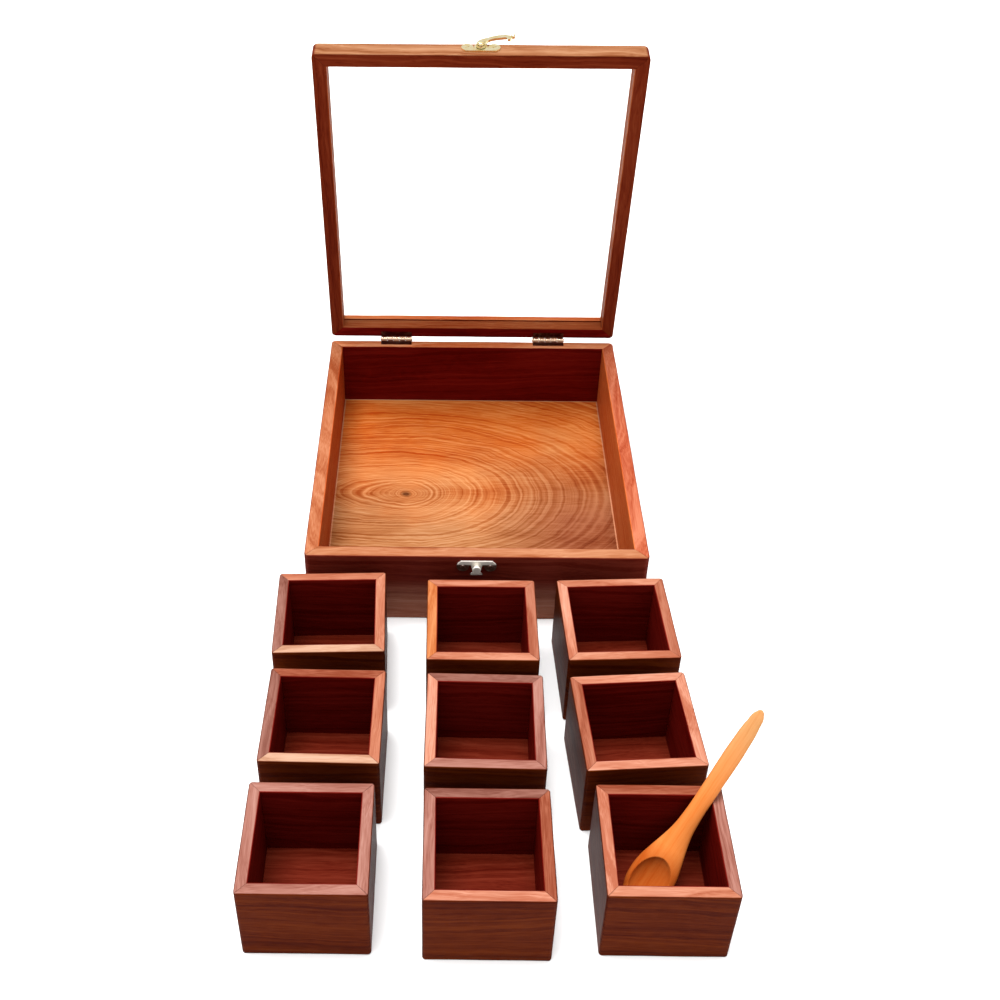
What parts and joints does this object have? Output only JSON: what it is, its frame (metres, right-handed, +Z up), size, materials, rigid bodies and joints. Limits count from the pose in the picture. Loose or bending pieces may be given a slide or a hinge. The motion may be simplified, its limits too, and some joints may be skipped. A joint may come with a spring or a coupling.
{
  "type": "spice box with cups",
  "caption": "Wooden spice box with a hinged glazed lid and hook latch, with loose square spice cups and a small wooden spoon standing in front of it.",
  "frame": {"origin": "centre of the box's flat underside, on the surface it stands on", "axes": "+X across the box to the viewer's right, +Y from its front to its hinged back, +Z up"},
  "size_m": [0.282, 0.5265, 0.3216],
  "materials": {
    "sheesham_box": "satin oil and wax",
    "sheesham_floor": "satin oil and wax",
    "sheesham_lid": "satin oil and wax",
    "sheesham_cup": "satin oil and wax",
    "spoon_wood": "sanded smooth",
    "hinge_brass": "rolled, lightly tarnished",
    "latch_brass": "bright plated",
    "lid_glass": "clear float glass"
  },
  "bodies": {
    "box": {"box_front_board": "sheesham_box", "box_back_board": "sheesham_box", "box_left_board": "sheesham_box", "box_right_board": "sheesham_box", "box_base_panel": "sheesham_floor", "hinge_left_box_leaf": "hinge_brass", "hinge_left_pin": "hinge_brass", "hinge_right_box_leaf": "hinge_brass", "hinge_right_pin": "hinge_brass", "hinge_screws_box": "hinge_brass", "strike_plate": "latch_brass", "strike_screws": "latch_brass"},
    "lid": {"lid_front_rail": "sheesham_lid", "lid_back_rail": "sheesham_lid", "lid_left_rail": "sheesham_lid", "lid_right_rail": "sheesham_lid", "lid_glass": "lid_glass", "hinge_left_lid_leaf": "hinge_brass", "hinge_right_lid_leaf": "hinge_brass", "hinge_screws_lid": "hinge_brass", "latch_plate": "latch_brass", "latch_rivet": "latch_brass", "latch_screws": "latch_brass"},
    "latch_hook": {"latch_hook": "latch_brass"},
    "cup_back_left": {"cup_back_left_end_boards": "sheesham_cup", "cup_back_left_side_boards": "sheesham_cup", "cup_back_left_base": "sheesham_cup"},
    "cup_middle_left": {"cup_middle_left_end_boards": "sheesham_cup", "cup_middle_left_side_boards": "sheesham_cup", "cup_middle_left_base": "sheesham_cup"},
    "cup_front_left": {"cup_front_left_end_boards": "sheesham_cup", "cup_front_left_side_boards": "sheesham_cup", "cup_front_left_base": "sheesham_cup"},
    "cup_back_middle": {"cup_back_middle_end_boards": "sheesham_cup", "cup_back_middle_side_boards": "sheesham_cup", "cup_back_middle_base": "sheesham_cup"},
    "cup_centre": {"cup_centre_end_boards": "sheesham_cup", "cup_centre_side_boards": "sheesham_cup", "cup_centre_base": "sheesham_cup"},
    "cup_front_middle": {"cup_front_middle_end_boards": "sheesham_cup", "cup_front_middle_side_boards": "sheesham_cup", "cup_front_middle_base": "sheesham_cup"},
    "cup_back_right": {"cup_back_right_end_boards": "sheesham_cup", "cup_back_right_side_boards": "sheesham_cup", "cup_back_right_base": "sheesham_cup"},
    "cup_middle_right": {"cup_middle_right_end_boards": "sheesham_cup", "cup_middle_right_side_boards": "sheesham_cup", "cup_middle_right_base": "sheesham_cup"},
    "cup_front_right": {"cup_front_right_end_boards": "sheesham_cup", "cup_front_right_side_boards": "sheesham_cup", "cup_front_right_base": "sheesham_cup"},
    "spoon": {"wooden_spoon": "spoon_wood"}
  },
  "joints": [
    {"name": "lid_hinge", "type": "hinge", "parent": "box", "child": "lid", "pos_m": [0, 0.1304, 0.05815], "axis": [-1, 0, 0], "range_deg": [-81.5, 98.5]},
    {"name": "latch_hook_swing", "type": "hinge", "parent": "lid", "child": "latch_hook", "pos_m": [0, 0.10126, 0.31506], "axis": [0, -0.1478, 0.989], "range_deg": [-113, 67]},
    {"name": "cup_back_left_lift", "type": "slide", "parent": "box", "child": "cup_back_left", "axis": [0, 0, 1], "range_m": [0, 0.07]},
    {"name": "cup_middle_left_lift", "type": "slide", "parent": "box", "child": "cup_middle_left", "axis": [0, 0, 1], "range_m": [0, 0.07]},
    {"name": "cup_front_left_lift", "type": "slide", "parent": "box", "child": "cup_front_left", "axis": [0, 0, 1], "range_m": [0, 0.07]},
    {"name": "cup_back_middle_lift", "type": "slide", "parent": "box", "child": "cup_back_middle", "axis": [0, 0, 1], "range_m": [0, 0.07]},
    {"name": "cup_centre_lift", "type": "slide", "parent": "box", "child": "cup_centre", "axis": [0, 0, 1], "range_m": [0, 0.07]},
    {"name": "cup_front_middle_lift", "type": "slide", "parent": "box", "child": "cup_front_middle", "axis": [0, 0, 1], "range_m": [0, 0.07]},
    {"name": "cup_back_right_lift", "type": "slide", "parent": "box", "child": "cup_back_right", "axis": [0, 0, 1], "range_m": [0, 0.07]},
    {"name": "cup_middle_right_lift", "type": "slide", "parent": "box", "child": "cup_middle_right", "axis": [0, 0, 1], "range_m": [0, 0.07]},
    {"name": "cup_front_right_lift", "type": "slide", "parent": "box", "child": "cup_front_right", "axis": [0, 0, 1], "range_m": [0, 0.07]},
    {"name": "spoon_lift", "type": "slide", "parent": "cup_front_right", "child": "spoon", "axis": [0, 0, 1], "range_m": [0, 0.13]}
  ]
}
